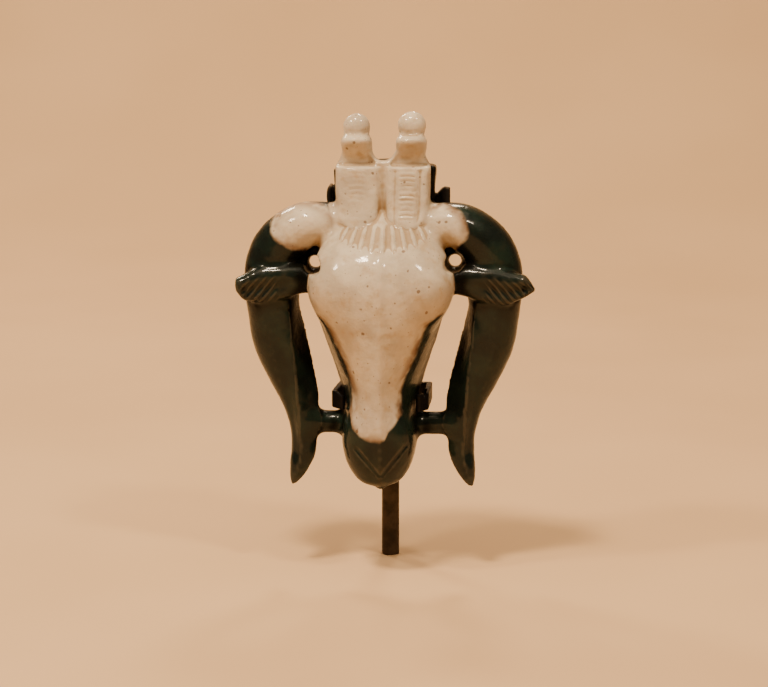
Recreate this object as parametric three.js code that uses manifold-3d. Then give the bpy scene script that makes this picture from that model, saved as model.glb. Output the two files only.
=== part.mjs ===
// Ram's head amulet carved from one piece of layered stone, held up by a thin metal rod with four prongs.
// Units are millimetres, +Z is up, the face looks along -Y, and the origin is the middle of the rod's foot.
import * as THREE from "three";
import { mergeVertices } from "three/addons/utils/BufferGeometryUtils.js";
import Module from "manifold-3d";

// Place of the stone's own frame: its mid-plane, its back plane and the underside of the muzzle.
const stonePlace = [-0.49, -1.6, 10.25];

// Head: height, half width, taper to the front, front, back, squareness of the section, step sideways.
const headRows = [
  [0.2, 1.1, 0.0, -8.5, -5.8, 2.0, -0.1],
  [0.4, 1.65, 0.0, -9.0, -5.2, 2.0, -0.12],
  [0.8, 2.3, 0.0, -9.6, -4.6, 2.1, -0.14],
  [1.5, 2.95, 0.0, -10.0, -3.8, 2.2, -0.16],
  [3.0, 3.75, 0.0, -10.6, -2.4, 2.4, -0.2],
  [5.0, 4.18, 0.02, -10.9, -1.2, 2.6, -0.24],
  [7.0, 4.08, 0.1, -11.0, -0.6, 2.8, -0.26],
  [9.0, 3.8, 0.3, -10.9, -0.4, 2.7, -0.26],
  [11.0, 3.98, 0.46, -11.0, -0.3, 2.6, -0.25],
  [14.0, 4.95, 0.38, -11.4, -0.3, 2.5, -0.25],
  [17.0, 6.05, 0.28, -11.9, -0.3, 2.5, -0.25],
  [20.0, 7.1, 0.1, -12.4, -0.3, 2.6, -0.22],
  [23.0, 7.6, 0.0, -12.6, -0.3, 2.6, -0.05],
  [25.5, 7.1, 0.0, -11.9, -0.3, 2.5, 0.0],
  [27.5, 6.6, 0.0, -10.3, -0.3, 2.6, 0.0],
  [29.5, 6.0, 0.0, -7.6, -0.4, 2.6, 0.0],
  [31.5, 5.2, 0.0, -4.6, -0.8, 2.6, 0.0],
];

// Brow over each eye, an oval swelling at the head's widest place.
const brow = { x: 4.6, y: -7.0, z: 22.9, rx: 3.4, ry: 4.4, rz: 4.0 };

// Horn of the right side: x, y, z, half width in the plane of the curl, half depth, strength of the ridges,
// and the turn of one ridge from the front towards the head, in degrees.
const hornRows = [
  [3.5, -3.6, 29.3, 2.0, 2.6, 0, 45],
  [6.2, -4.2, 29.4, 2.35, 2.8, 0, 45],
  [8.9, -4.3, 29.1, 2.62, 3.0, 0, 45],
  [11.3, -4.0, 27.1, 2.95, 3.0, 0, 45],
  [12.4, -3.8, 24.6, 3.1, 3.0, 0, 45],
  [12.5, -3.7, 21.8, 3.1, 3.0, 0.2, 45],
  [12.4, -3.7, 19.5, 2.95, 2.9, 0.6, 42],
  [11.85, -3.7, 16.1, 2.95, 2.8, 1, 34],
  [10.7, -3.8, 12.7, 2.6, 2.5, 1, 22],
  [9.4, -4.0, 9.3, 2.15, 2.2, 1, -2],
  [8.95, -4.2, 5.9, 1.57, 1.8, 1, -12],
  [8.97, -4.4, 3.6, 1.45, 1.5, 0.7, -8],
  [9.4, -4.8, 1.9, 1.15, 1.15, 0.3, -4],
  [9.85, -5.1, 0.55, 0.7, 0.75, 0, -4],
  [10.1, -5.3, -0.15, 0.3, 0.35, 0, -4],
];
const hornRidges = 5;
const ridgeDepth = 0.06;

// Ear, a leaf lying across the front of the horn: distance from the mid-plane, underside, top, front, back.
const earRows = [
  [6.3, 22.1, 24.2, -7.0, -4.6],
  [7.6, 21.9, 24.7, -7.1, -4.4],
  [9.3, 21.6, 25.1, -7.3, -4.4],
  [11.0, 21.0, 25.2, -7.6, -4.4],
  [12.6, 20.7, 25.1, -7.7, -4.4],
  [14.0, 20.7, 24.7, -7.7, -4.7],
];
const leftEarEnd = [
  [15.4, 20.95, 23.9, -7.5, -5.2],
  [16.3, 22.0, 23.4, -7.2, -5.6],
];
const rightEarEnd = [
  [15.3, 21.3, 24.3, -7.5, -5.2],
  [16.15, 21.75, 23.95, -7.2, -5.6],
  [17.05, 22.35, 22.65, -6.9, -6.0],
];
// The hollow of each leaf, and the slanting ribs left standing in it.
const earHollow = { x: 12.9, y: -8.1, z: 22.4, rx: 3.2, ry: 0.95, rz: 1.15 };
const earRibs = { count: 5, from: 11.4, step: 0.8, lean: 0.8, height: 0.7, radius: 0.2, y: -7.15 };

// Hole left open above each ear, drilled through a thin web between head and horn.
const web = { x: 8.1, z: 25.4, width: 3.4, height: 4.4, front: -4.8, back: -3.0 };
const earHoles = [{ x: -7.64, z: 24.95 }, { x: 8.08, z: 25.25 }];
const earHole = { radius: 0.7, mouthRadius: 1.1, mouthStart: -3.9, mouthEnd: -5.6, slope: 0.05 };

// Strut from each horn to the muzzle.
const strut = { from: 3.2, to: 8.6, y: -4.2, z: 6.72, radius: 1.27 };

// Crown: a slab at the back, and on it two cobras side by side, each with a hood, a head and a sun disc.
const slabRows = [
  [26.5, 5.3, -3.8, -0.6],
  [31.0, 5.4, -3.8, -0.6],
  [35.2, 5.75, -3.7, -0.6],
  [36.3, 5.6, -3.5, -0.8],
];
const cobraRows = [
  // height, step outwards, half width, front, back
  [28.9, 2.6, 1.3, -7.5, -2.4],
  [29.3, 2.62, 1.8, -7.7, -2.4],
  [30.1, 2.68, 2.25, -7.4, -2.4],
  [31.2, 2.74, 2.42, -6.95, -2.4],
  [33.6, 2.8, 2.48, -6.4, -2.4],
  [35.6, 2.82, 2.47, -6.15, -2.6],
  [35.9, 2.83, 2.44, -5.95, -2.6],
  [36.1, 2.83, 2.36, -5.3, -2.7],
  [36.45, 2.85, 2.12, -5.15, -2.75],
  [37.0, 2.88, 1.86, -5.3, -2.8],
  [37.6, 2.91, 1.7, -5.7, -2.85],
  [38.2, 2.94, 1.7, -6.2, -2.9],
  [38.7, 2.95, 1.72, -6.5, -3.0],
  [39.1, 2.95, 1.58, -6.5, -3.1],
  [39.5, 2.95, 1.25, -6.0, -3.4],
];
const cobraShift = 0.05;
const slabShift = 0.12;
// How far the slab's top drops at its left and right shoulder, and between which distances from the middle.
const shoulder = { left: 0.9, right: 0.5, from: 3.6, to: 5.4 };
// How far the right cobra's head leans outwards, and between which heights.
const rightLean = { reach: 0.22, from: 37, to: 38 };
const cobraFilling = { halfWidth: 0.8, front: -5.5, back: -2.6, bottom: 28.9, top: 36.45 };
const discs = [
  { x: -2.89, z: 40.27, radius: 1.49 },
  { x: 3.25, z: 40.48, radius: 1.56 },
];
const discDepth = { y: -4.5, half: 1.25 };
const ladders = [
  { x: -2.73, rungs: 6, from: 32.19, step: 0.58 },
  { x: 2.83, rungs: 10, from: 30.56, step: 0.53 },
];
const rung = { halfWidth: 0.8, radius: 0.15 };
const fringe = {
  flutes: 9, x: 0.3, step: 1.04, top: 29.1, bottom: 26.9, fan: 0.28, radius: 0.42, rise: 0.065,
};

// Mouth: two grooves that meet in a V under the nose.
const mouth = { lines: [[[-2.5, 4.9], [0.0, 1.95]], [[2.9, 5.2], [0.3, 1.95]]], radius: 0.22 };

// Mount: the rod, and two cross arms whose ends come forward as prongs round the stone. Each end of an arm
// is a path of distance from the stone's mid-plane and depth, seen from above.
const rod = { radius: 1.0, top: 43.65 };
const armThickness = 0.6;
const armPlane = -1.15;
const upperArm = {
  z: 42.35, height: 2.3, reach: 6.25, leftEnd: [[6.25, -1.5]], rightEnd: [[6.25, -0.7], [7.1, -1.5]],
};
const lowerArm = {
  z: 19.7, height: 2.0, reach: 5.05,
  leftEnd: [[5.45, -4.6], [4.48, -5.65]], rightEnd: [[4.95, -5.2], [4.15, -6.4]],
};

const wasm = await Module();
wasm.setup();

// A closed three.js geometry as a solid that can be joined and cut.
function solid(geometry) {
  geometry.deleteAttribute("normal");
  geometry.deleteAttribute("uv");
  const merged = mergeVertices(geometry, 1e-5);
  const vertProperties = merged.attributes.position.array;
  return new wasm.Manifold(new wasm.Mesh({ numProp: 3, vertProperties, triVerts: merged.index.array }));
}

// A solid as the mesh of one named piece.
function piece(name, body, material) {
  const { vertProperties, triVerts } = body.getMesh();
  const geometry = new THREE.BufferGeometry();
  geometry.setAttribute("position", new THREE.BufferAttribute(vertProperties, 3));
  geometry.setIndex(new THREE.BufferAttribute(triVerts, 1));
  geometry.computeVertexNormals();
  const mesh = new THREE.Mesh(geometry, material);
  mesh.name = name;
  return mesh;
}

function joined(bodies) {
  return bodies.reduce((whole, body) => whole.add(body));
}

// A skin drawn over rings: place(t, angle, reach) gives each point, with t from 0 to 1 along the piece,
// the angle round it from the front, and a reach of 1 on the skin and 0 in the middle of an end.
function skin(rings, around, place) {
  const shape = new THREE.CylinderGeometry(1, 1, 1, around, rings);
  const points = shape.attributes.position;
  for (let i = 0; i < points.count; i++) {
    const side = points.getX(i);
    const front = points.getZ(i);
    const p = place(points.getY(i) + 0.5, Math.atan2(side, front), Math.hypot(side, front));
    points.setXYZ(i, p[0], p[1], p[2]);
  }
  return solid(shape);
}

// The values between rows, on a smooth curve through them all, at t from 0 to 1.
function between(rows, t) {
  const place = THREE.MathUtils.clamp(t, 0, 1) * (rows.length - 1);
  const i = Math.min(Math.floor(place), rows.length - 2);
  const f = place - i;
  const row = (k) => rows[THREE.MathUtils.clamp(k, 0, rows.length - 1)];
  return rows[i].map((_, column) => {
    const [a, b, c, d] = [row(i - 1), row(i), row(i + 1), row(i + 2)].map((r) => r[column]);
    const rise = (c - a) / 2;
    const fall = (d - b) / 2;
    return b + f * (rise + f * (3 * (c - b) - 2 * rise - fall + f * (2 * (b - c) + rise + fall)));
  });
}

// The values of rows at a height, where the first column is the height.
function atHeight(rows, height) {
  let low = 0;
  let high = 1;
  for (let step = 0; step < 30; step++) {
    const middle = (low + high) / 2;
    if (between(rows, middle)[0] < height) low = middle;
    else high = middle;
  }
  return between(rows, low);
}

// A sine or cosine bent towards a squarer section. Values that are zero but for rounding stay zero.
function rounded(value, power) {
  const size = Math.abs(value);
  return size < 1e-6 ? 0 : Math.sign(value) * size ** power;
}

function oval(x, y, z, rx, ry, rz, around = 16, rings = 10) {
  const shape = new THREE.SphereGeometry(1, around, rings);
  shape.rotateX(Math.PI / 2);
  shape.scale(rx, ry, rz);
  shape.translate(x, y, z);
  return solid(shape);
}

// A round bar of any direction.
function bar(from, to, radius, around = 12, endRadius = radius) {
  const start = new THREE.Vector3(...from);
  const end = new THREE.Vector3(...to);
  const shape = new THREE.CylinderGeometry(endRadius, radius, start.distanceTo(end), around);
  const turn = new THREE.Quaternion();
  turn.setFromUnitVectors(new THREE.Vector3(0, 1, 0), end.clone().sub(start).normalize());
  shape.applyQuaternion(turn);
  shape.translate(...start.add(end).divideScalar(2).toArray());
  return solid(shape);
}

function head() {
  return skin(26, 28, (t, angle, reach) => {
    const [height, halfWidth, taper, front, back, squareness, middle] = between(headRows, t);
    const across = reach * rounded(Math.sin(angle), 2 / squareness);
    const deep = reach * rounded(-Math.cos(angle), 2 / squareness);
    const x = middle + halfWidth * (1 + taper * deep) * across;
    return [x, (front + back) / 2 + (back - front) / 2 * deep, height];
  });
}

// The head's front surface at a place seen from the front.
function headFront(x, height) {
  const [, halfWidth, taper, front, back, squareness, middle] = atHeight(headRows, height);
  let deep = -1;
  for (let step = 0; step < 20; step++) {
    const across = Math.min(Math.abs(x - middle) / (halfWidth * (1 + taper * deep)), 1);
    deep = -((1 - across ** squareness) ** (1 / squareness));
  }
  return (front + back) / 2 + (back - front) / 2 * deep;
}

function brows() {
  return [-1, 1].map((side) => oval(side * brow.x, brow.y, brow.z, brow.rx, brow.ry, brow.rz, 16, 10));
}

function horn(side) {
  const step = 1e-3;
  return skin(28, 20, (t, angle, reach) => {
    const [x, y, z, halfWidth, halfDepth, ridges, turn] = between(hornRows, t);
    const before = between(hornRows, t - step);
    const after = between(hornRows, t + step);
    const run = new THREE.Vector2(after[0] - before[0], after[2] - before[2]).normalize();
    const fromRidge = side * angle - THREE.MathUtils.degToRad(turn);
    const swell = reach * (1 + ridges * ridgeDepth * Math.cos(hornRidges * fromRidge));
    // The left horn mirrors the right one, so its rings turn the other way to keep their faces outwards.
    const out = side * halfWidth * swell * Math.sin(angle);
    const deep = halfDepth * swell * Math.cos(angle);
    return [side * (x + run.y * out), y - deep, z - run.x * out];
  });
}

function ear(side, rows) {
  const leaf = skin(12, 12, (t, angle, reach) => {
    const [x, low, high, front, back] = between(rows, t);
    const up = reach * Math.sin(angle);
    const deep = reach * Math.cos(angle);
    const z = (low + high) / 2 - (high - low) / 2 * up * side;
    return [side * x, (front + back) / 2 + (front - back) / 2 * deep, z];
  });
  const { y, z, rx, ry, rz } = earHollow;
  const hollow = oval(side * earHollow.x, y, z, rx, ry, rz, 14, 8);
  const ribs = Array.from({ length: earRibs.count }, (_, i) => {
    const x = earRibs.from + i * earRibs.step;
    const from = [side * (x + earRibs.lean / 2), earRibs.y, z - earRibs.height];
    const to = [side * (x - earRibs.lean / 2), earRibs.y, z + earRibs.height];
    return bar(from, to, earRibs.radius, 6);
  });
  return leaf.subtract(hollow.subtract(joined(ribs)));
}

// The thin web that closes the place between head, horn and ear, all but its hole.
function webs() {
  return [-1, 1].map((side) => {
    const shape = new THREE.BoxGeometry(web.width, web.back - web.front, web.height);
    shape.translate(side * web.x, (web.front + web.back) / 2, web.z);
    return solid(shape);
  });
}

function drilledHoles() {
  const { radius, mouthRadius, mouthStart, mouthEnd, slope } = earHole;
  return earHoles.flatMap((hole) => {
    const at = (y) => [hole.x, y, hole.z - slope * (y - web.back)];
    return [
      bar(at(1), at(-12), radius, 14),
      bar(at(mouthStart), at(mouthEnd), radius, 14, mouthRadius),
      bar(at(mouthEnd), at(-12), mouthRadius, 14),
    ];
  });
}

function struts() {
  return [-1, 1].map((side) =>
    bar([side * strut.from, strut.y, strut.z], [side * strut.to, strut.y, strut.z], strut.radius, 14));
}

function slab() {
  return skin(5, 24, (t, angle, reach) => {
    const [height, halfWidth, front, back] = between(slabRows, t);
    const x = slabShift + halfWidth * reach * rounded(Math.sin(angle), 0.35);
    const y = (front + back) / 2 + (front - back) / 2 * reach * rounded(Math.cos(angle), 0.35);
    const drop = x < 0 ? shoulder.left : shoulder.right;
    return [x, y, height - t * drop * THREE.MathUtils.smoothstep(Math.abs(x), shoulder.from, shoulder.to)];
  });
}

function cobra(side, ladder) {
  const body = skin(24, 14, (t, angle, reach) => {
    const [height, out, halfWidth, front, back] = between(cobraRows, t);
    const { reach: most, from, to } = rightLean;
    const lean = side > 0 ? most * THREE.MathUtils.smoothstep(height, from, to) : 0;
    const x = cobraShift + side * out + lean + halfWidth * reach * rounded(Math.sin(angle), 0.75);
    return [x, (front + back) / 2 + (front - back) / 2 * reach * rounded(Math.cos(angle), 0.7), height];
  });
  const rungs = Array.from({ length: ladder.rungs }, (_, i) => {
    const z = ladder.from + i * ladder.step;
    const y = atHeight(cobraRows, z)[3] + 0.08;
    return bar([ladder.x - rung.halfWidth, y, z], [ladder.x + rung.halfWidth, y, z], rung.radius, 6);
  });
  return joined([body, ...rungs]);
}

// The stone left standing between the two hoods.
function betweenCobras() {
  const { halfWidth, front, back, bottom, top } = cobraFilling;
  const shape = new THREE.BoxGeometry(2 * halfWidth, back - front, top - bottom);
  shape.translate(cobraShift, (front + back) / 2, (bottom + top) / 2);
  return solid(shape);
}

function sunDiscs() {
  return discs.map((disc) =>
    oval(disc.x, discDepth.y, disc.z, disc.radius, discDepth.half, disc.radius, 14, 9));
}

function fringeFlutes() {
  return Array.from({ length: fringe.flutes }, (_, i) => {
    const place = i - (fringe.flutes - 1) / 2;
    const x = fringe.x + place * fringe.step;
    const foot = x * (1 + fringe.fan);
    const top = [x, headFront(x, fringe.top) + 0.2, fringe.top];
    const bottom = [foot, headFront(foot, fringe.bottom) + 0.26, fringe.bottom + fringe.rise * place ** 2];
    return bar(bottom, top, fringe.radius, 8, fringe.radius * 0.8);
  });
}

// Each groove is a run of short round bars that follow the curve of the muzzle.
function mouthGrooves() {
  const steps = 6;
  return mouth.lines.flatMap(([side, middle]) => Array.from({ length: steps }, (_, i) => {
    const [from, to] = [i, i + 1].map((k) => {
      const x = THREE.MathUtils.lerp(middle[0], side[0], k / steps);
      const z = THREE.MathUtils.lerp(middle[1], side[1], k / steps);
      return [x, headFront(x, z) - 0.04, z];
    });
    return bar(from, to, mouth.radius, 6);
  }));
}

function amulet() {
  const carved = joined([
    head(),
    ...brows(),
    horn(-1),
    horn(1),
    ear(-1, [...earRows, ...leftEarEnd]),
    ear(1, [...earRows, ...rightEarEnd]),
    ...webs(),
    ...struts(),
    slab(),
    cobra(-1, ladders[0]),
    cobra(1, ladders[1]),
    betweenCobras(),
    ...sunDiscs(),
    ...fringeFlutes(),
  ]);
  return [...drilledHoles(), ...mouthGrooves()].reduce((whole, cut) => whole.subtract(cut), carved);
}

// A flat strip that follows a path seen from above, standing on edge round a middle height.
function strip(path, height, middle) {
  const half = armThickness / 2;
  const edge = (sign) => path.map((point, i) => {
    const before = path[Math.max(i - 1, 0)];
    const after = path[Math.min(i + 1, path.length - 1)];
    const run = after.clone().sub(before).normalize();
    return new THREE.Vector2(point.x - sign * run.y * half, point.y + sign * run.x * half);
  });
  const outline = new THREE.Shape([...edge(1), ...edge(-1).reverse()]);
  const shape = new THREE.ExtrudeGeometry(outline, { depth: height, bevelEnabled: false });
  shape.translate(0, 0, middle - height / 2);
  return solid(shape);
}

function arm({ z, height, reach, leftEnd, rightEnd }) {
  const path = [
    ...leftEnd.map(([x, y]) => new THREE.Vector2(stonePlace[0] - x, stonePlace[1] + y)).reverse(),
    new THREE.Vector2(stonePlace[0] - reach, armPlane),
    new THREE.Vector2(stonePlace[0] + reach, armPlane),
    ...rightEnd.map(([x, y]) => new THREE.Vector2(stonePlace[0] + x, stonePlace[1] + y)),
  ];
  return strip(path, height, z);
}

function displayMount() {
  const shape = new THREE.CylinderGeometry(rod.radius, rod.radius, rod.top, 28);
  shape.rotateX(Math.PI / 2);
  shape.translate(0, 0, rod.top / 2);
  return joined([solid(shape), arm(upperArm), arm(lowerArm)]);
}

const darkStone = new THREE.MeshStandardMaterial({ color: 0x26352c, roughness: 0.25, metalness: 0 });
const darkMetal = new THREE.MeshStandardMaterial({ color: 0x4a4238, roughness: 0.45, metalness: 0.8 });

const object = new THREE.Group();
const stone = piece("ram_head_amulet", amulet(), darkStone);
stone.position.set(...stonePlace);
object.add(stone, piece("display_mount", displayMount(), darkMetal));

export default object;
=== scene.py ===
import math
import bmesh
import bpy
import numpy as np
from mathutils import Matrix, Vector


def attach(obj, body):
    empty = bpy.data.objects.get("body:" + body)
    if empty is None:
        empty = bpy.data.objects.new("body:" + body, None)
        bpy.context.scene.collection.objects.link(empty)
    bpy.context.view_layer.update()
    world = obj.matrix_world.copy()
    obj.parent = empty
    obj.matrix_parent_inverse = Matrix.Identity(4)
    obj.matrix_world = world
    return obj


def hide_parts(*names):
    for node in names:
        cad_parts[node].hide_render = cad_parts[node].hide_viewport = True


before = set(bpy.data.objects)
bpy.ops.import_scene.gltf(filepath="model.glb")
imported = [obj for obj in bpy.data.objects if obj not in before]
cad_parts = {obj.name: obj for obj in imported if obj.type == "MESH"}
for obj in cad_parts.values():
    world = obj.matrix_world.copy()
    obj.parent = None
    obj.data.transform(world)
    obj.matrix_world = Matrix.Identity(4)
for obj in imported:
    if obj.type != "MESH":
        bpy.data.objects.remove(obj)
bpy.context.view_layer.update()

# The head
# The amulet is one small block of banded stone, carved all round and polished. The head is its middle: a
# long wedge, narrow along the nose and flaring to the back, with a broad brow. Sizes are in millimetres,
# in the stone's own frame: its mid-plane, its flat back and the underside of the muzzle.
stone_place = np.array([-0.49, -1.6, 10.25])
# Height, half width, taper to the front, front, back, squareness of the section, step sideways.
head_rows = [
    [0.2, 1.1, 0.0, -8.5, -5.8, 2.0, -0.1],
    [0.4, 1.65, 0.0, -9.0, -5.2, 2.0, -0.12],
    [0.8, 2.3, 0.0, -9.6, -4.6, 2.1, -0.14],
    [1.5, 2.95, 0.0, -10.0, -3.8, 2.2, -0.16],
    [3.0, 3.75, 0.0, -10.6, -2.4, 2.4, -0.2],
    [5.0, 4.18, 0.02, -10.9, -1.2, 2.6, -0.24],
    [7.0, 4.08, 0.1, -11.0, -0.6, 2.8, -0.26],
    [9.0, 3.8, 0.3, -10.9, -0.4, 2.7, -0.26],
    [11.0, 3.98, 0.46, -11.0, -0.3, 2.6, -0.25],
    [14.0, 4.95, 0.38, -11.4, -0.3, 2.5, -0.25],
    [17.0, 6.05, 0.28, -11.9, -0.3, 2.5, -0.25],
    [20.0, 7.1, 0.1, -12.4, -0.3, 2.6, -0.22],
    [23.0, 7.6, 0.0, -12.6, -0.3, 2.6, -0.05],
    [25.5, 7.1, 0.0, -11.9, -0.3, 2.5, 0.0],
    [27.5, 6.6, 0.0, -10.3, -0.3, 2.6, 0.0],
    [29.5, 6.0, 0.0, -7.6, -0.4, 2.6, 0.0],
    [31.5, 5.2, 0.0, -4.6, -0.8, 2.6, 0.0],
]
brow_centre = (4.6, -7.0, 22.9)
brow_radii = (3.4, 4.4, 4.0)
# The mouth is two grooves that meet in a V: ends of each, seen from the front, then depth and width.
mouth_lines = [((-2.5, 4.9), (0.0, 1.95)), ((2.9, 5.2), (0.3, 1.95))]
mouth_depth, mouth_width = 0.16, 0.22


def drawn(rows, count):
    """A smooth curve through rows of sizes, at count even places."""
    rows = np.array(rows)
    place = np.linspace(0, len(rows) - 1, count)
    i = np.minimum(place.astype(int), len(rows) - 2)
    f = (place - i)[:, None]
    a, b, c, d = (rows[np.clip(i + k, 0, len(rows) - 1)] for k in (-1, 0, 1, 2))
    rise, fall = (c - a) / 2, (d - b) / 2
    return b + f * (rise + f * (3 * (c - b) - 2 * rise - fall + f * (2 * (b - c) + rise + fall)))


def sizes_at(curve, place):
    """The other sizes on a drawn curve where its first one is place."""
    return [np.interp(place, curve[:, 0], curve[:, k]) for k in range(1, curve.shape[1])]


def ring_distance(across, deep, half_width, half_depth, square):
    """Distance out of a rounded section, for a place given in half widths and half depths."""
    a, b = np.abs(across), np.abs(deep)
    q = np.maximum((a**square + b**square) ** (1 / square), 0.05)
    slope = q ** (1 - square) * np.hypot(a ** (square - 1) / half_width, b ** (square - 1) / half_depth)
    return (q - 1) / np.maximum(slope, 0.02)


def oval_distance(x, y, z, centre, radii):
    a, b, c = ((v - m) / r for v, m, r in zip((x, y, z), centre, radii))
    q = np.maximum(np.sqrt(a * a + b * b + c * c), 0.05)
    return (q - 1) * q / np.sqrt((a / radii[0]) ** 2 + (b / radii[1]) ** 2 + (c / radii[2]) ** 2 + 1e-6)


def joined(a, b, soft):
    """Two forms as one, with a fillet of about the given softness."""
    near = np.maximum(soft - np.abs(a - b), 0) / soft
    return np.minimum(a, b) - near * near * soft / 4


def without(a, b, soft):
    """One form with another cut out of it, with an edge as soft as asked."""
    return -joined(-a, b, soft)


def line_distance(u, v, start, end):
    """Distance to a straight line between two points of a plane, and how far along it, from 0 to 1."""
    du, dv = end[0] - start[0], end[1] - start[1]
    along = np.clip(((u - start[0]) * du + (v - start[1]) * dv) / (du * du + dv * dv), 0, 1)
    return np.hypot(u - start[0] - along * du, v - start[1] - along * dv), along


head_curve = drawn(head_rows, 300)


def head(x, y, z):
    half, taper, front, back, square, middle = sizes_at(head_curve, z)
    half_depth = (back - front) / 2
    deep = (y - (front + back) / 2) / half_depth
    width = half * (1 + taper * np.clip(deep, -1.3, 1.3))
    form = ring_distance((x - middle) / width, deep, width, half_depth, square)
    form = without(np.maximum(form, z - head_rows[-1][0]), z - head_rows[0][0], 0.6)
    form = joined(form, oval_distance(np.abs(x), y, z, brow_centre, brow_radii), 1.4)
    mouth = np.minimum(*(line_distance(x, z, *line)[0] for line in mouth_lines))
    return form + mouth_depth * np.exp(-((mouth / mouth_width) ** 2)) * (y < -5)


# The horns
# They are left standing free round the ears: thick at the crown, curled out and down, and drawn in to a
# point beside the muzzle, where a short strut of stone ties each one to the head. Long low ridges run
# down the front and the inner side of their lower half, and the outer side is round.
# Right horn: x, y, z, half width in the plane of the curl, half depth, strength of the ridges, and the turn
# of one ridge from the front towards the head, in degrees.
horn_rows = [
    [3.5, -3.6, 29.3, 2.0, 2.6, 0, 45],
    [6.2, -4.2, 29.4, 2.35, 2.8, 0, 45],
    [8.9, -4.3, 29.1, 2.62, 3.0, 0, 45],
    [11.3, -4.0, 27.1, 2.95, 3.0, 0, 45],
    [12.4, -3.8, 24.6, 3.1, 3.0, 0, 45],
    [12.5, -3.7, 21.8, 3.1, 3.0, 0.2, 45],
    [12.4, -3.7, 19.5, 2.95, 2.9, 0.6, 42],
    [11.85, -3.7, 16.1, 2.95, 2.8, 1, 34],
    [10.7, -3.8, 12.7, 2.6, 2.5, 1, 22],
    [9.4, -4.0, 9.3, 2.15, 2.2, 1, -2],
    [8.95, -4.2, 5.9, 1.57, 1.8, 1, -12],
    [8.97, -4.4, 3.6, 1.45, 1.5, 0.7, -8],
    [9.4, -4.8, 1.9, 1.15, 1.15, 0.3, -4],
    [9.85, -5.1, 0.55, 0.7, 0.75, 0, -4],
    [10.1, -5.3, -0.15, 0.3, 0.35, 0, -4],
]
horn_ridges, ridge_depth = 5, 0.11
# The ridges fade in and out between these turns past the front ridge, in radians.
ridges_start, ridges_stop = (-0.95, -0.35), (1.7, 2.3)
horn_curve = drawn(horn_rows, 220)
horn_run = np.gradient(horn_curve[:, [0, 2]], axis=0)
horn_step = np.hypot(horn_run[:, 0], horn_run[:, 1])
horn_run = horn_run / horn_step[:, None]
strut_height, strut_depth, strut_radius = 6.72, -4.2, 1.27
strut_ends = (3.2, 8.6)


def ease(v, low, high):
    """From 0 at low to 1 at high, with soft ends."""
    t = np.clip((v - low) / (high - low), 0, 1)
    return t * t * (3 - 2 * t)


def horn(x, y, z):
    """Distance out of the horns, from the nearest place on the curve through their middle."""
    x = np.abs(x).ravel()
    y, z = y.ravel(), z.ravel()
    form = np.full(x.shape, 5.0)
    near = np.flatnonzero(x > 2.0)
    for part in np.array_split(near, max(len(near) // 40000, 1)):
        across = x[part, None] - horn_curve[None, :, 0]
        up = z[part, None] - horn_curve[None, :, 2]
        nearest = np.argmin(across * across + up * up, axis=1)
        rows = np.arange(len(part))
        run = horn_run[nearest]
        a, b = across[rows, nearest], up[rows, nearest]
        along = a * run[:, 0] + b * run[:, 1]
        place = nearest + along / horn_step[nearest]
        beyond = np.maximum(-place, place - (len(horn_curve) - 1)) * horn_step[nearest]
        middle, half, half_depth, ridges, twist = (
            np.interp(place, np.arange(len(horn_curve)), horn_curve[:, k]) for k in (1, 3, 4, 5, 6))
        out = (a * run[:, 1] - b * run[:, 0]) / half
        deep = (y[part] - middle) / half_depth
        turn = np.arctan2(out, -deep) - np.radians(twist)
        crest = 1 - 2 * np.abs(np.sin(horn_ridges / 2 * turn)) ** 0.8
        cut = ease(turn, *ridges_start) * ease(-turn, -ridges_stop[1], -ridges_stop[0])
        swell = 1 + ridges * ridge_depth * (crest * cut - 0.15 * (1 - cut))
        d = ring_distance(out / swell, deep / swell, half, half_depth, 2.0)
        form[part] = np.hypot(np.maximum(d, 0), np.maximum(beyond, 0)) + np.minimum(d, 0)
    return form


def strut(x, y, z):
    round_bar = np.hypot(y - strut_depth, z - strut_height) - strut_radius
    return np.maximum(round_bar, np.maximum(strut_ends[0] - np.abs(x), np.abs(x) - strut_ends[1]))


# The ears
# Each ear lies flat across the front of its horn, a bar near the head that opens into a hollowed leaf
# with a raised upper edge and a few slanting ribs. The left one has lost its point.
# Distance from the mid-plane, underside, top, front, back.
ear_rows = [
    [6.3, 22.1, 24.2, -7.0, -4.6],
    [7.6, 21.9, 24.7, -7.1, -4.4],
    [9.3, 21.6, 25.1, -7.3, -4.4],
    [11.0, 21.0, 25.2, -7.6, -4.4],
    [12.6, 20.7, 25.1, -7.7, -4.4],
    [14.0, 20.7, 24.7, -7.7, -4.7],
]
left_ear_end = [
    [15.4, 20.95, 23.9, -7.5, -5.2],
    [16.3, 22.0, 23.4, -7.2, -5.6],
]
right_ear_end = [
    [15.3, 21.3, 24.3, -7.5, -5.2],
    [16.15, 21.75, 23.95, -7.2, -5.6],
    [17.05, 22.35, 22.65, -6.9, -6.0],
]
# The upper side of each ear slopes back from a sharp front edge: depth and height of a place on the slope.
ear_slope = (-7.45, 24.4)
hollow_depth, rib_depth, rib_spacing = 0.55, 0.065, 0.85
ear_curves = {-1: drawn(ear_rows + left_ear_end, 160), 1: drawn(ear_rows + right_ear_end, 160)}


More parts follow.
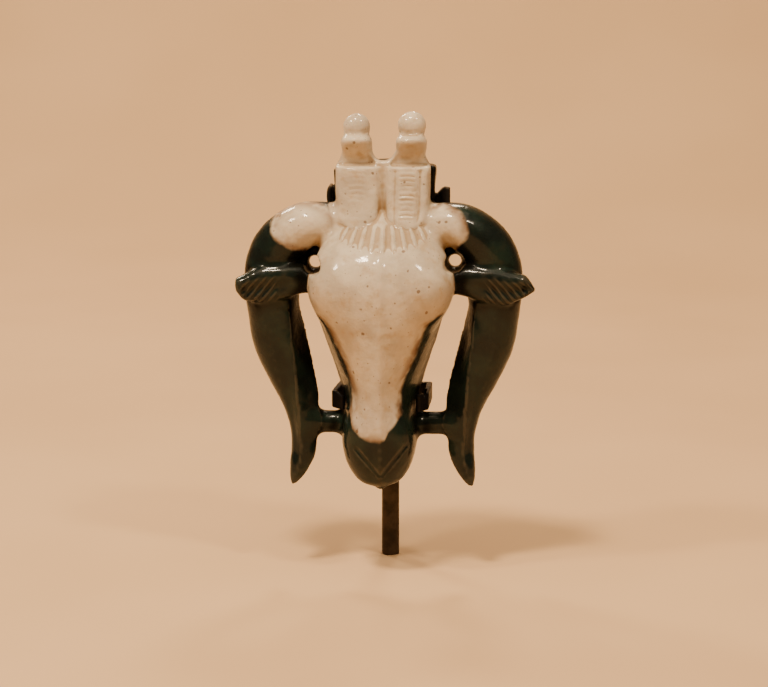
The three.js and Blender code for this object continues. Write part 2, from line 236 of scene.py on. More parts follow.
def ear(x, y, z, side):
    x = x * side
    curve = ear_curves[side]
    low, high, front, back = sizes_at(curve, x)
    half_height, half_depth = (high - low) / 2, (back - front) / 2
    up = (z - (high + low) / 2) / half_height
    deep = (y - (front + back) / 2) / half_depth
    form = ring_distance(up, deep, half_height, half_depth, 2.2)
    form = np.maximum(form, np.maximum(curve[0, 0] - x, x - curve[-1, 0]))
    form = without(form, (y - ear_slope[0]) * 0.6 - (z - ear_slope[1]) * 0.8, 0.08)
    leaf = ease(x, 8.6, 12.0) * ease(-x, -curve[-1, 0] + 0.1, -curve[-1, 0] + 1.2) * (deep < 0)
    hollow = hollow_depth * np.exp(-(((up + 0.2) / 0.45) ** 2))
    ribs = rib_depth * np.cos(2 * math.pi * (x + 0.8 * z) / rib_spacing) * np.exp(-(((up + 0.3) / 0.6) ** 4))
    return form + leaf * (hollow + ribs * ease(x, 11.0, 12.4))


# The crown
# A slab stands at the back of the head, and two cobras rise side by side in front of it. Each has a broad
# ribbed hood, a head that leans forward and a sun disc on top. A fringe of short flutes is cut along the
# brow under them.
# Slab: height, half width, front, back.
slab_rows = [
    [26.5, 5.3, -3.8, -0.6],
    [31.0, 5.4, -3.8, -0.6],
    [35.2, 5.75, -3.7, -0.6],
    [36.3, 5.6, -3.5, -0.8],
]
# Cobra: height, step outwards, half width, front, back.
cobra_rows = [
    [28.9, 2.6, 1.3, -7.5, -2.4],
    [29.3, 2.62, 1.8, -7.7, -2.4],
    [30.1, 2.68, 2.25, -7.4, -2.4],
    [31.2, 2.74, 2.42, -6.95, -2.4],
    [33.6, 2.8, 2.48, -6.4, -2.4],
    [35.6, 2.82, 2.47, -6.15, -2.6],
    [35.9, 2.83, 2.44, -5.95, -2.6],
    [36.1, 2.83, 2.36, -5.3, -2.7],
    [36.45, 2.85, 2.12, -5.15, -2.75],
    [37.0, 2.88, 1.86, -5.3, -2.8],
    [37.6, 2.91, 1.7, -5.7, -2.85],
    [38.2, 2.94, 1.7, -6.2, -2.9],
    [38.7, 2.95, 1.72, -6.5, -3.0],
    [39.1, 2.95, 1.58, -6.5, -3.1],
    [39.5, 2.95, 1.25, -6.0, -3.4],
]
cobra_shift, slab_shift = 0.05, 0.12
# How far the right cobra's head leans outwards, and how far the slab's worn shoulders drop.
right_lean, left_drop, right_drop = 0.22, 0.9, 0.5
# Middle and radii of the disc on each cobra.
disc_places = {-1: ((-2.89, -4.5, 40.27), (1.49, 1.25, 1.5)), 1: ((3.25, -4.5, 40.48), (1.57, 1.25, 1.54))}
# Lowest rung, spacing and relief of the ladder of scales on each hood, and depth of the grooves beside it.
ladders = {-1: (31.9, 0.58, 0.05, 0.03), 1: (30.3, 0.53, 0.09, 0.13)}
# Rim and grooves of a hood, in half widths from its middle.
hood_rim, hood_groove, rim_height = 0.86, 0.56, 0.08
# Fringe: middle, spacing and number of the flutes, their top and foot, how much they fan out over a height
# of 2.2, how much higher the outer ones end, and their relief.
fringe_middle, fringe_step, fringe_flutes = 0.3, 1.04, 9
fringe_top, fringe_foot, fringe_fan, fringe_rise, fringe_relief = 29.1, 26.95, 0.28, 0.065, 0.46
slab_curve = drawn(slab_rows, 80)
cobra_curve = drawn(cobra_rows, 240)


def slab(x, y, z):
    half, front, back = sizes_at(slab_curve, z)
    half_depth = (back - front) / 2
    across, deep = (x - slab_shift) / half, (y - (front + back) / 2) / half_depth
    form = ring_distance(across, deep, half, half_depth, 5.5)
    top = slab_rows[-1][0] - np.where(x < 0, left_drop, right_drop) * ease(np.abs(x), 3.6, 5.4)
    return without(np.maximum(form, slab_rows[0][0] - z), top - z, 0.3)


def cobra(x, y, z, side):
    out, half, front, back = sizes_at(cobra_curve, z)
    half_depth = (back - front) / 2
    lean = right_lean * ease(z, 37.0, 38.0) if side > 0 else 0
    across = (x - cobra_shift - side * out - lean) / half
    deep = (y - (front + back) / 2) / half_depth
    form = ring_distance(across, deep, half, half_depth, 2.7)
    form = np.maximum(form, np.maximum(cobra_rows[0][0] - z, z - cobra_rows[-1][0]))
    bottom, spacing, relief, groove_shade = ladders[side]
    u = np.abs(across)
    rim = rim_height * np.exp(-(((u - hood_rim) / 0.12) ** 2))
    grooves = -groove_shade * np.exp(-(((u - hood_groove) / 0.12) ** 2))
    # The rungs are arched, and not all cut to the same depth.
    arched = z + 0.9 * across**2
    rung = np.abs((arched - bottom) / spacing % 1 - 0.5) * spacing
    relief = relief * (0.75 + 0.35 * np.sin(2.9 * z + side))
    rungs = relief * ease(z, bottom, bottom + 0.2) * ease(-u, -0.42, -0.3) * np.exp(-((rung / 0.13) ** 2))
    panel = ease(z, 29.4, 30.4) * ease(-z, -35.85, -35.5) * (deep < -0.2)
    return joined(form - panel * (rim + grooves + rungs), oval_distance(x, y, z, *disc_places[side]), 0.55)


def fringe(x, z):
    """How far the flutes stand out of the brow."""
    fan = 1 + fringe_fan * (fringe_top - z) / 2.2
    place = (x / fan - fringe_middle) / fringe_step
    crest = 1 - np.abs(np.sin(math.pi * place)) ** 0.9
    low = fringe_foot + fringe_rise * place**2 + 0.3 * (1 - crest)
    inside = ease(-np.abs(place), -fringe_flutes / 2 - 0.05, -fringe_flutes / 2 + 0.15)
    # A ridge runs up from the middle of the fringe between the two hoods.
    middle_width = 0.35 + 0.3 * ease(-z, -30.8, -29.0)
    middle_ridge = 0.3 * np.exp(-(((x - 0.1) / middle_width) ** 2)) * ease(-z, -32.2, -30.5)
    flutes = (fringe_relief * crest - 0.14) * ease(z, low, low + 0.5) * ease(-z, -30.0, -29.2) * inside
    return flutes + middle_ridge


# The whole stone
# The forms above are one solid, so they run into each other in small fillets, as an abrasive leaves them.
# A thin web closes the place between head, horn and ear, and a hole is drilled through it on each side.
# The mesh is drawn over the whole form and kept under 200,000 triangles.
web_middle, web_half = (8.1, -3.9, 25.4), (1.7, 0.9, 2.2)
hole_places, hole_radius = [(-7.64, 24.95), (8.08, 25.25)], 0.7
# Height of the low waves that the polish has left, long ones and short ones.
wave_height, ripple_height = 0.012, 0.006


def stone(x, y, z):
    form = head(x, y, z)
    form = form - fringe(x, z) * (y < -3.5)
    form = joined(form, slab(x, y, z), 0.5)
    # The stone left standing between the two hoods.
    filling = np.maximum.reduce([np.abs(x - cobra_shift) - 0.8,
                                 np.abs(y + 3.8) - 1.5,
                                 np.abs(z - 32.6) - 3.9])
    cobras = joined(joined(cobra(x, y, z, -1), cobra(x, y, z, 1), 0.3), filling, 0.7)
    form = joined(form, cobras, 0.25)
    form = joined(form, horn(x, y, z).reshape(form.shape), 0.9)
    form = joined(form, strut(x, y, z), 1.2)
    web = np.maximum.reduce([np.abs(np.abs(x) - web_middle[0]) - web_half[0],
                             np.abs(y - web_middle[1]) - web_half[1],
                             np.abs(z - web_middle[2]) - web_half[2]])
    form = joined(form, web, 0.6)
    form = joined(form, joined(ear(x, y, z, -1), ear(x, y, z, 1), 0.1), 0.45)
    # The holes slope up to the front, and open out there.
    for hole_x, hole_z in hole_places:
        drill = np.hypot(x - hole_x, z - hole_z + 0.05 * (y + 3)) - hole_radius
        form = without(form, drill - 0.4 * ease(-y, 3.9, 5.6), 0.15)
    waver = np.sin(1.1 * x + 0.7 * z) * np.sin(0.9 * z - 0.6 * y + 1.3) + np.sin(2.3 * z + 1.9 * x + 0.4)
    ripple = (np.sin(5.1 * x + 1.7 * z) * np.sin(4.3 * z - 2.2 * y + 1)
              + np.sin(6.1 * z - 3.7 * x) * np.sin(3.1 * y + z))
    return form + wave_height * waver + ripple_height * ripple


def surface_of(distance, low, high, cell):
    """Corners and four-sided faces over a form, one corner in each cell that its surface crosses."""
    axes = [np.arange(a, b + cell, cell) for a, b in zip(low, high)]
    shape = tuple(len(axis) for axis in axes)
    grid = np.empty(shape)
    for k in range(0, shape[2], 12):
        grid[:, :, k:k + 12] = distance(*np.meshgrid(axes[0], axes[1], axes[2][k:k + 12], indexing="ij"))
    inside = grid < 0
    steps = [(i, j, k) for i in (0, 1) for j in (0, 1) for k in (0, 1)]
    ends = [tuple(slice(s, n - 1 + s) for s, n in zip(step, shape)) for step in steps]
    count = sum(inside[end].astype(np.int8) for end in ends)
    cells = np.argwhere((count > 0) & (count < 8))
    values = np.stack([grid[tuple((cells + step).T)] for step in steps], axis=1)
    total = np.zeros((len(cells), 3))
    crossings = np.zeros(len(cells))
    for a in range(8):
        for b in range(a + 1, 8):
            if sum(abs(p - q) for p, q in zip(steps[a], steps[b])) == 1:
                crossed = (values[:, a] < 0) != (values[:, b] < 0)
                t = values[:, a] / np.where(crossed, values[:, a] - values[:, b], 1)
                place = np.array(steps[a]) + t[:, None] * (np.array(steps[b]) - steps[a])
                total += np.where(crossed[:, None], place, 0)
                crossings += crossed
    corners = np.array(low) + (cells + total / crossings[:, None]) * cell
    number = np.full(tuple(n - 1 for n in shape), -1)
    number[tuple(cells.T)] = np.arange(len(cells))
    faces = []
    for axis in range(3):
        u, v = (axis + 1) % 3, (axis + 2) % 3
        start = [slice(0, n) for n in shape]
        start[axis] = slice(0, shape[axis] - 1)
        end = list(start)
        end[axis] = slice(1, shape[axis])
        leaving = inside[tuple(start)] & ~inside[tuple(end)]
        entering = ~inside[tuple(start)] & inside[tuple(end)]
        for edges, order in ((leaving, (0, 1, 2, 3)), (entering, (3, 2, 1, 0))):
            at = np.argwhere(edges)
            around = []
            for du, dv in ((1, 1), (0, 1), (0, 0), (1, 0)):
                cell_at = at.copy()
                cell_at[:, u] -= du
                cell_at[:, v] -= dv
                around.append(number[tuple(cell_at.T)])
            faces.append(np.stack([around[k] for k in order], axis=1))
    return corners, np.concatenate(faces)


def settled(distance, points, rounds):
    """Points moved along the slope of a form until they lie on its surface, and the slope there."""
    step = 0.02
    for _ in range(rounds):
        x, y, z = points.T
        value = distance(x, y, z)
        ahead = [distance(x + step, y, z), distance(x, y + step, z), distance(x, y, z + step)]
        slope = (np.stack(ahead, axis=1) - value[:, None]) / step
        size = np.maximum((slope**2).sum(axis=1), 0.25)
        move = -(value / size)[:, None] * slope
        reach = np.maximum(np.linalg.norm(move, axis=1) / 0.12, 1)
        points = points + move / reach[:, None]
    return points, slope


stone_box = (-17.0, -13.4, -0.9), (17.8, 0.4, 43.0)
cell = 0.27
points, faces = surface_of(stone, *stone_box, cell)
mesh = bpy.data.meshes.new("ram_head_stone")
mesh.from_pydata(points.tolist(), [], faces.tolist())
mesh.update()

# The crown, the hollows of the ears and the mouth are drawn twice as fine as the rest.
work = bmesh.new()
work.from_mesh(mesh)
fine = []
for edge in work.edges:
    m = (edge.verts[0].co + edge.verts[1].co) / 2
    in_crown = m.z > 26.3 and abs(m.x) < 6.2 and m.y < -2.6
    in_ear = 10.6 < abs(m.x) and 20.0 < m.z < 24.8 and m.y < -5.4
    in_mouth = m.z < 5.3 and abs(m.x) < 3.6 and m.y < -7
    if in_crown or in_ear or in_mouth:
        fine.append(edge)
bmesh.ops.subdivide_edges(work, edges=fine, cuts=1, use_grid_fill=True)
work.to_mesh(mesh)
work.free()
points = np.empty(len(mesh.vertices) * 3)
mesh.vertices.foreach_get("co", points)
points, slope = settled(stone, points.reshape(-1, 3), 3)
mesh.vertices.foreach_set("co", ((points + stone_place) / 1000).ravel())
mesh.shade_smooth()
mesh.update()
amulet = bpy.data.objects.new("ram_head_stone", mesh)
bpy.context.collection.objects.link(amulet)
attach(amulet, "root")
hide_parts("ram_head_amulet")

# The stone's two layers
# A pale ivory layer lies in front of a green one that is nearly black. The carver kept the face, the crown
# and the roots of the horns in the pale layer; horns, ears and muzzle are in the dark one.
# Height, left and right edge of the pale layer on the face, depth of its back.
layer_rows = [
    [5.0, -3.9, 2.6, -8.0],
    [8.6, -3.7, 2.45, -7.8],
    [9.4, -3.36, 2.35, -7.8],
    [10.2, -3.13, 2.3, -7.8],
    [11.3, -3.19, 2.3, -7.8],
    [12.7, -3.36, 2.8, -7.8],
    [14.0, -3.8, 3.4, -7.6],
    [15.4, -4.4, 3.95, -7.4],
    [16.7, -5.04, 4.45, -7.2],
    [18.1, -5.5, 4.92, -7.0],
    [19.2, -6.2, 5.5, -6.8],
    [19.9, -7.4, 6.6, -6.6],
    [20.6, -9.5, 8.6, -6.4],
    [22.0, -14.0, 14.0, -6.2],
    [26.5, -20.0, 20.0, -5.5],
    [29.0, -20.0, 20.0, -4.2],
    [32.0, -20.0, 20.0, -4.0],
    [34.0, -20.0, 20.0, -3.9],
    [43.0, -20.0, 20.0, -3.5],
]
# The pale layer's lower end on the nose: step from the mid-plane, height.
layer_end = [[-4.5, 10.5], [-3.5, 8.7], [-3.1, 7.3], [-2.4, 6.65], [-1.8, 6.25], [-1.0, 5.9], [0.1, 5.8],
             [0.7, 6.15], [1.05, 7.1], [1.6, 7.7], [2.4, 8.6], [3.4, 10.5]]
# Pale patch at the root of each horn: middle and half size, seen from the front.
horn_patches = [
    (-8.6, 29.35, 3.85, 2.75),
    (6.4, 29.3, 3.3, 2.6),
    (6.6, 27.4, 1.9, 1.9),
    (-6.6, 27.4, 1.6, 1.9),
]


def pale_layer(x, y, z):
    """How far inside the pale layer a place is, in millimetres."""
    rows, end = np.array(layer_rows), np.array(layer_end)
    left, right, back = (np.interp(z, rows[:, 0], rows[:, k]) for k in (1, 2, 3))
    face = np.minimum(np.minimum(x - left, right - x), (z - np.interp(x, end[:, 0], end[:, 1])) * 0.8)
    carved_dark = np.minimum(horn(x, y, z), np.minimum(ear(x, y, z, -1), ear(x, y, z, 1)))
    of_head = np.minimum(carved_dark - head(x, y, z) - 0.1, 3)
    patch = np.maximum.reduce([(1 - np.hypot((x - m) / a, (z - n) / b)) * b for m, n, a, b in horn_patches])
    middle = np.maximum(of_head, np.where(z > 26.2, 6.0 - np.abs(x), -3))
    return np.minimum(np.minimum(back - y, face), np.maximum(middle, patch))


def bend(distance, points, reach):
    """How the surface curves within reach: above nothing on edges, below nothing in grooves."""
    x, y, z = points.T
    total = -6 * distance(x, y, z)
    for step in np.eye(3) * reach:
        for way in (-1, 1):
            total = total + distance(x + way * step[0], y + way * step[1], z + way * step[2])
    return total / reach


pale = np.clip(pale_layer(*points.T), -2, 2)
curve = np.clip(bend(stone, points, 0.22), -1, 1)
mesh.attributes.new("pale", "FLOAT", "POINT").data.foreach_set("value", pale)
mesh.attributes.new("curve", "FLOAT", "POINT").data.foreach_set("value", curve)
outward = slope / np.maximum(np.linalg.norm(slope, axis=1), 1e-6)[:, None]
# How closely a place is shut in by the stone round it, within two reaches.
for name, reach in (("recess", 0.8), ("hidden", 2.6)):
    sheltered = np.clip(1 - stone(*(points + reach * outward).T) / reach, 0, 1)
    mesh.attributes.new(name, "FLOAT", "POINT").data.foreach_set("value", sheltered)


def material_for(name):
    look = bpy.data.materials.new(name)
    look.use_nodes = True
    return look, look.node_tree.nodes, look.node_tree.links, look.node_tree.nodes["Principled BSDF"]


def in_millimetres(nodes, links):
    """The place on the object, in millimetres."""
    place = nodes.new("ShaderNodeTexCoord")
    scaled = nodes.new("ShaderNodeVectorMath")
    scaled.operation = "SCALE"
    scaled.inputs["Scale"].default_value = 1000
    links.new(place.outputs["Object"], scaled.inputs[0])
    return scaled.outputs[0]


def feed(links, value, socket):
    """Give a socket a fixed value, or link it to another node's output."""
    if isinstance(value, (int, float, tuple)):
        socket.default_value = value
    else:
        links.new(value, socket)


def spread(nodes, links, value, low, high, to_low=0.0, to_high=1.0, smooth=True):
    """A value between low and high, spread out between to_low and to_high."""
    node = nodes.new("ShaderNodeMapRange")
    node.interpolation_type = "SMOOTHSTEP" if smooth else "LINEAR"
    for socket, number in zip(("From Min", "From Max", "To Min", "To Max"), (low, high, to_low, to_high)):
        feed(links, number, node.inputs[socket])
    links.new(value, node.inputs["Value"])
    return node.outputs["Result"]


def sums(nodes, links, kind, a, b):
    node = nodes.new("ShaderNodeMath")
    node.operation = kind
    feed(links, a, node.inputs[0])
    feed(links, b, node.inputs[1])
    return node.outputs[0]


def mixed(nodes, links, amount, a, b):
    """Colour a with an amount of colour b over it."""
    node = nodes.new("ShaderNodeMix")
    node.data_type = "RGBA"
    for name, kind, part in (("Factor", "VALUE", amount), ("A", "RGBA", a), ("B", "RGBA", b)):
        feed(links, part, next(s for s in node.inputs if s.name == name and s.type == kind))
    return next(s for s in node.outputs if s.type == "RGBA")


def attribute(nodes, name):
    node = nodes.new("ShaderNodeAttribute")
    node.attribute_name = name
    return node.outputs["Fac"]


def node_group(name, inputs, outputs):
    """A shader node group with named numbers going in and out, and the ends of both inside it."""
    group = bpy.data.node_groups.new(name, "ShaderNodeTree")
    for socket, number in inputs.items():
        made = group.interface.new_socket(socket, in_out="INPUT", socket_type="NodeSocketFloat")
        made.default_value = number
    for socket in outputs:
        group.interface.new_socket(socket, in_out="OUTPUT", socket_type="NodeSocketFloat")
    return group, group.nodes.new("NodeGroupInput").outputs, group.nodes.new("NodeGroupOutput").inputs


def placed(nodes, group, output, **values):
    """A node group set into a material with its own values."""
    node = nodes.new("ShaderNodeGroup")
    node.node_tree = group
    for name, number in values.items():
        node.inputs[name].default_value = number
    return node.outputs[output]


# Clouds in the stone, the metal and the sheet under them: noise between From and To, spread out between
# Low and High. Mask has soft ends, and Value is even.
cloud_inputs = {"Scale": 1.0, "Detail": 3.0, "From": 0.0, "To": 1.0, "Low": 0.0, "High": 1.0}
clouds, given, result = node_group("clouds", cloud_inputs, ("Mask", "Value"))
nodes, links = clouds.nodes, clouds.links
noise = nodes.new("ShaderNodeTexNoise")
noise.inputs["Roughness"].default_value = 0.55
links.new(in_millimetres(nodes, links), noise.inputs["Vector"])
links.new(given["Scale"], noise.inputs["Scale"])
links.new(given["Detail"], noise.inputs["Detail"])
limits = [given[name] for name in ("From", "To", "Low", "High")]
links.new(spread(nodes, links, noise.outputs["Fac"], *limits), result["Mask"])
links.new(spread(nodes, links, noise.outputs["Fac"], *limits, smooth=False), result["Value"])

# Paler edges, from wear and painted sheen: how far the surface bends outwards, between From and To.
edge_wear_and_sheen, given, result = node_group("edge_wear_and_sheen", {"From": 0.1, "To": 0.6, "Strength": 0.4}, ("Mask",))
nodes, links = edge_wear_and_sheen.nodes, edge_wear_and_sheen.links
worn = spread(nodes, links, attribute(nodes, "curve"), given["From"], given["To"], 0.0, given["Strength"])
links.new(worn, result["Mask"])

stone_look, nodes, links, shader = material_for("layered_stone")
wander = placed(nodes, clouds, "Value", Scale=0.6, From=0.3, To=0.7, Low=-0.12, High=0.12)
depth = sums(nodes, links, "ADD", attribute(nodes, "pale"), wander)
is_pale = spread(nodes, links, depth, -0.18, 0.24)
thin = spread(nodes, links, depth, 0.0, 1.1, 1, 0)

# The pale layer is ivory in soft clouds, amber where it thins out, and painted browner in grooves and
# recesses as painted shade.
cloud = placed(nodes, clouds, "Mask", Scale=0.3, Detail=4, From=0.36, To=0.66)
ivory = mixed(nodes, links, cloud, (0.62, 0.52, 0.38, 1), (0.48, 0.39, 0.28, 1))
warm = placed(nodes, clouds, "Mask", Scale=0.75, From=0.5, To=0.75, High=0.6)
ivory = mixed(nodes, links, warm, ivory, (0.44, 0.30, 0.16, 1))
patchy = placed(nodes, clouds, "Mask", Scale=0.5, Detail=2, From=0.35, To=0.6)
ivory = mixed(nodes, links, sums(nodes, links, "MULTIPLY", thin, patchy), ivory, (0.22, 0.13, 0.07, 1))
# Painted shade: grooves, and places shut in by the stone round them, are painted brown.
groove_shade = spread(nodes, links, attribute(nodes, "curve"), -0.6, -0.1, 0.6, 0)
recess_shade = spread(nodes, links, attribute(nodes, "recess"), 0.2, 0.75, 0, 0.8)
ivory = mixed(nodes, links, sums(nodes, links, "MAXIMUM", groove_shade, recess_shade), ivory, (0.30, 0.17, 0.06, 1))
# Brown specks of two sizes.
place = in_millimetres(nodes, links)
for scale, biggest, strength in ((0.8, 0.19, 0.7), (1.7, 0.16, 0.5)):
    speck = nodes.new("ShaderNodeTexVoronoi")
    speck.inputs["Scale"].default_value = scale
    links.new(place, speck.inputs["Vector"])
    size = placed(nodes, clouds, "Value", Scale=1.3, Detail=1, From=0.4, To=0.72, Low=0.02, High=biggest)
    beyond = sums(nodes, links, "SUBTRACT", speck.outputs["Distance"], size)
    in_speck = spread(nodes, links, beyond, -0.03, 0.05, strength, 0)
    ivory = mixed(nodes, links, in_speck, ivory, (0.13, 0.06, 0.025, 1))

# The dark layer is a green that is nearly black, with brown clouds. Its edges are painted paler, partly as
# rubbed wear and partly as painted highlight along the ridges.
dark_cloud = placed(nodes, clouds, "Mask", Scale=0.3, Detail=4, From=0.35, To=0.7)
dark = mixed(nodes, links, dark_cloud, (0.006, 0.009, 0.007, 1), (0.011, 0.021, 0.014, 1))
brown = placed(nodes, clouds, "Mask", Scale=0.6, Detail=5, From=0.55, To=0.8, High=0.3)
dark = mixed(nodes, links, brown, dark, (0.026, 0.014, 0.007, 1))
on_edge = placed(nodes, edge_wear_and_sheen, "Mask", From=0.12, To=0.6, Strength=0.35)
dark = mixed(nodes, links, on_edge, dark, (0.10, 0.08, 0.05, 1))
# Painted shade: places shut in by the stone round them are painted nearly black, and below they also lose
# their coat.
unpolished_and_shaded = spread(nodes, links, attribute(nodes, "hidden"), 0.1, 0.5)
dark = mixed(nodes, links, unpolished_and_shaded, dark, (0.003, 0.003, 0.002, 1))
links.new(mixed(nodes, links, is_pale, dark, ivory), shader.inputs["Base Color"])

# Both layers are polished, but for the places that no tool could reach.
polish = placed(nodes, clouds, "Value", Scale=1.6, Detail=4, From=0.3, To=0.7, Low=0.26, High=0.42)
links.new(polish, shader.inputs["Roughness"])
polished = sums(nodes, links, "SUBTRACT", 1, unpolished_and_shaded)
coat = sums(nodes, links, "MULTIPLY", polished, spread(nodes, links, is_pale, 0, 1, 0.45, 0.55, False))
links.new(coat, shader.inputs["Coat Weight"])
shader.inputs["Specular IOR Level"].default_value = 0.06
shader.inputs["Coat Roughness"].default_value = 0.1
shader.inputs["Subsurface Weight"].default_value = 0.15
shader.inputs["Subsurface Scale"].default_value = 0.0008
shader.inputs["Subsurface Radius"].default_value = (1.0, 0.6, 0.3)


def dented(nodes, links, sizes, strength, detail):
    """Fine dents of several sizes, one over another: scale and depth of each."""
    normal = None
    for scale, deep in sizes:
        bump = nodes.new("ShaderNodeBump")
        bump.inputs["Strength"].default_value = strength
        bump.inputs["Distance"].default_value = deep
        links.new(placed(nodes, clouds, "Value", Scale=scale, Detail=detail), bump.inputs["Height"])
        if normal:
            links.new(normal, bump.inputs["Normal"])
        normal = bump.outputs["Normal"]
    return normal


dents = dented(nodes, links, ((0.7, 0.00016), (2.2, 0.00009), (6.0, 0.00002)), 0.5, 3)
links.new(dents, shader.inputs["Normal"])
mesh.materials.append(stone_look)

# The display mount
# One round rod stands up behind the stone and two flat strips cross it, brazed on. The ends of the strips
# come forward as four prongs, cut and filed by hand, that hold the stone. It is brass with a dark patina.
# These sizes are in the model's own frame, in millimetres.
rod_radius, rod_top = 1.0, 43.65
strip_half, strip_plane = 0.3, -1.15
# Rounding of the edges of the strips and of the rod.
strip_round, rod_round = 0.12, 0.1
# Path of each strip seen from above, then its middle height and its height.
upper_path = [(-6.74, -3.1), (-6.74, strip_plane), (5.76, strip_plane), (5.76, -2.3), (6.61, -3.1)]
lower_path = [(-4.97, -7.25), (-5.94, -6.2), (-5.54, strip_plane),
              (4.56, strip_plane), (4.46, -6.8), (3.66, -8.0)]
upper_strip, lower_strip = (42.35, 2.3), (19.7, 2.0)


def crossing(a, b, rounding):
    """What two forms share, with the edge between them rounded."""
    a, b = a + rounding, b + rounding
    return np.hypot(np.maximum(a, 0), np.maximum(b, 0)) + np.minimum(np.maximum(a, b), 0) - rounding


def strip(x, y, z, path, middle, height):
    flat = np.full(x.shape, 99.0)
    for start, end in zip(path[:-1], path[1:]):
        flat = np.minimum(flat, line_distance(x, y, start, end)[0])
    return crossing(flat - strip_half, np.abs(z - middle) - height / 2, strip_round)


def mount(x, y, z):
    rod = crossing(np.hypot(x, y) - rod_radius, np.maximum(-z, z - rod_top), rod_round)
    upper = strip(x, y, z, upper_path, *upper_strip)
    # The upper left prong is filed to a lens, and the upper right one has a notch in its top edge.
    lens = (np.hypot((x + 6.66) / 0.37, (z - 42.35) / 1.2) - 1) * 0.34
    upper = np.where(x < -6.3, np.maximum(upper, lens), upper)
    upper = without(upper, 42.5 + np.abs(x - 5.27) * 1.05 - z, 0.05)
    # The top of the lower left prong slants, and that of the lower right one has a narrow notch.
    lower = strip(x, y, z, lower_path, *lower_strip)
    cut = np.where(x < 0, 20.75 - 0.46 * (x + 5.9), 20.2 + np.abs(x - 4.3) * 2.5)
    lower = without(lower, np.where(y < -5.0, cut - z, 9.0), 0.05)
    return joined(joined(rod, upper, 0.35), lower, 0.35)


mount_box = (-7.6, -9.0, -0.6), (7.6, 1.6, 44.4)
cell = 0.17
points, faces = surface_of(mount, *mount_box, cell)
points, slope = settled(mount, points, 3)
mesh = bpy.data.meshes.new("rod_and_prongs")
mesh.from_pydata((points / 1000).tolist(), [], faces.tolist())
mesh.shade_smooth()
mesh.update()
curve = np.clip(bend(mount, points, 0.15), -1, 1)
mesh.attributes.new("curve", "FLOAT", "POINT").data.foreach_set("value", curve)
cradle = bpy.data.objects.new("rod_and_prongs", mesh)
bpy.context.collection.objects.link(cradle)
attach(cradle, "root")
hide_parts("display_mount")

metal_look, nodes, links, shader = material_for("mount_metal")
tarnish = placed(nodes, clouds, "Mask", Scale=0.5, Detail=5, From=0.3, To=0.7)
metal = mixed(nodes, links, tarnish, (0.030, 0.024, 0.018, 1), (0.075, 0.055, 0.038, 1))
worn = placed(nodes, edge_wear_and_sheen, "Mask", From=0.45, To=1.0, Strength=0.35)
metal = mixed(nodes, links, worn, metal, (0.30, 0.20, 0.11, 1))
# The tips of the prongs are blackened.
along = nodes.new("ShaderNodeSeparateXYZ")
links.new(in_millimetres(nodes, links), along.inputs[0])
blackened = spread(nodes, links, along.outputs["Y"], -5.0, -1.4, 1, 0)
metal = mixed(nodes, links, blackened, metal, (0.005, 0.004, 0.004, 1))
links.new(metal, shader.inputs["Base Color"])
links.new(spread(nodes, links, blackened, 0, 0.8, 0.75, 0, False), shader.inputs["Metallic"])
shader.inputs["Specular IOR Level"].default_value = 0.12
brushed = placed(nodes, clouds, "Value", Scale=1.5, Detail=4, From=0.3, To=0.7, Low=0.42, High=0.62)
links.new(brushed, shader.inputs["Roughness"])
links.new(dented(nodes, links, ((3.0, 0.00004),), 0.4, 4), shader.inputs["Normal"])
mesh.materials.append(metal_look)

# The floor, the light and the camera
# A plain pale sheet runs from under the rod up into a wall behind it. The light is soft and a little warm,
# and the camera stands where the photograph was taken from.
edge = [(-0.5, 0.0)]
bend_radius, wall = 0.16, 0.34
for step in range(25):
    turn = math.pi / 2 * step / 24
    edge.append((wall - bend_radius + bend_radius * math.sin(turn),
                 bend_radius - bend_radius * math.cos(turn)))
edge.append((wall, 0.8))
floor_mesh = bpy.data.meshes.new("floor")
corners = [(side * 0.9, y, z) for side in (-1, 1) for y, z in edge]
count = len(edge)
floor_mesh.from_pydata(corners, [], [(k, count + k, count + k + 1, k + 1) for k in range(count - 1)])
floor_mesh.shade_smooth()
floor = bpy.data.objects.new("floor", floor_mesh)
bpy.context.collection.objects.link(floor)
floor_look, nodes, links, shader = material_for("floor")
soft = placed(nodes, clouds, "Mask", Scale=0.02, Detail=2, From=0.3, To=0.7)
sheet = mixed(nodes, links, soft, (0.60, 0.38, 0.19, 1), (0.64, 0.41, 0.21, 1))
links.new(sheet, shader.inputs["Base Color"])
shader.inputs["Roughness"].default_value = 0.9
floor_mesh.materials.append(floor_look)

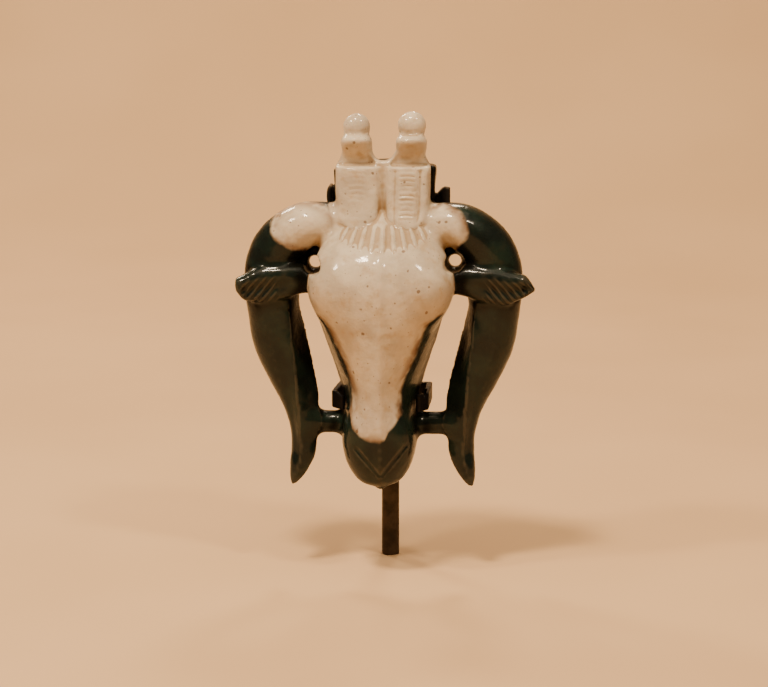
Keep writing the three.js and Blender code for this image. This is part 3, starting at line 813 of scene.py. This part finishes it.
world = bpy.data.worlds.new("studio")
world.use_nodes = True
world.node_tree.nodes["Background"].inputs["Color"].default_value = (1.0, 0.8, 0.58, 1)
world.node_tree.nodes["Background"].inputs["Strength"].default_value = 0.1
bpy.context.scene.world = world


def soft_light(name, place, aim, size, power, colour):
    lamp = bpy.data.lights.new(name, "AREA")
    lamp.size = size
    lamp.energy = power
    lamp.color = colour
    light = bpy.data.objects.new(name, lamp)
    light.location = place
    light.rotation_mode = "QUATERNION"
    light.rotation_quaternion = (Vector(aim) - Vector(place)).to_track_quat("-Z", "Y")
    bpy.context.collection.objects.link(light)


stone_middle = (0, -0.007, 0.031)
lamp_colour = (1.0, 0.80, 0.58)
soft_light("key", (-0.06, -0.14, 0.33), stone_middle, 0.045, 1.2, lamp_colour)
soft_light("left", (-0.23, -0.15, 0.30), stone_middle, 0.035, 0.6, lamp_colour)
soft_light("right", (0.16, -0.16, 0.28), stone_middle, 0.035, 0.5, lamp_colour)
soft_light("behind_left", (-0.17, 0.22, 0.24), stone_middle, 0.05, 0.45, lamp_colour)
soft_light("behind", (0.02, 0.24, 0.28), stone_middle, 0.05, 0.45, lamp_colour)
soft_light("wall", (0.0, -0.05, 0.55), (0.0, 0.30, 0.05), 0.5, 1.3, (1.0, 0.78, 0.54))

camera = bpy.data.objects.new("camera", bpy.data.cameras.new("camera"))
bpy.context.collection.objects.link(camera)
bpy.context.scene.camera = camera
azimuth, elevation, distance = math.radians(4), math.radians(10), 0.30
level = math.cos(elevation)
back = Vector((math.sin(azimuth) * level, -math.cos(azimuth) * level, math.sin(elevation)))
aim = Vector((-0.00049, -0.0066, 0.03155))
camera.location = aim + back * distance
camera.rotation_mode = "QUATERNION"
# Width that the picture covers at the stone.
frame_width = 0.086016
# The stone stands a little above the middle of the picture.
middle = aim + Vector((0.00018, 0, -0.00537))
camera.rotation_quaternion = (middle - camera.location).to_track_quat("-Z", "Y")
camera.data.sensor_width = 36
camera.data.lens = 36 * distance / frame_width
camera.data.clip_start = 0.01
camera.data.clip_end = 10
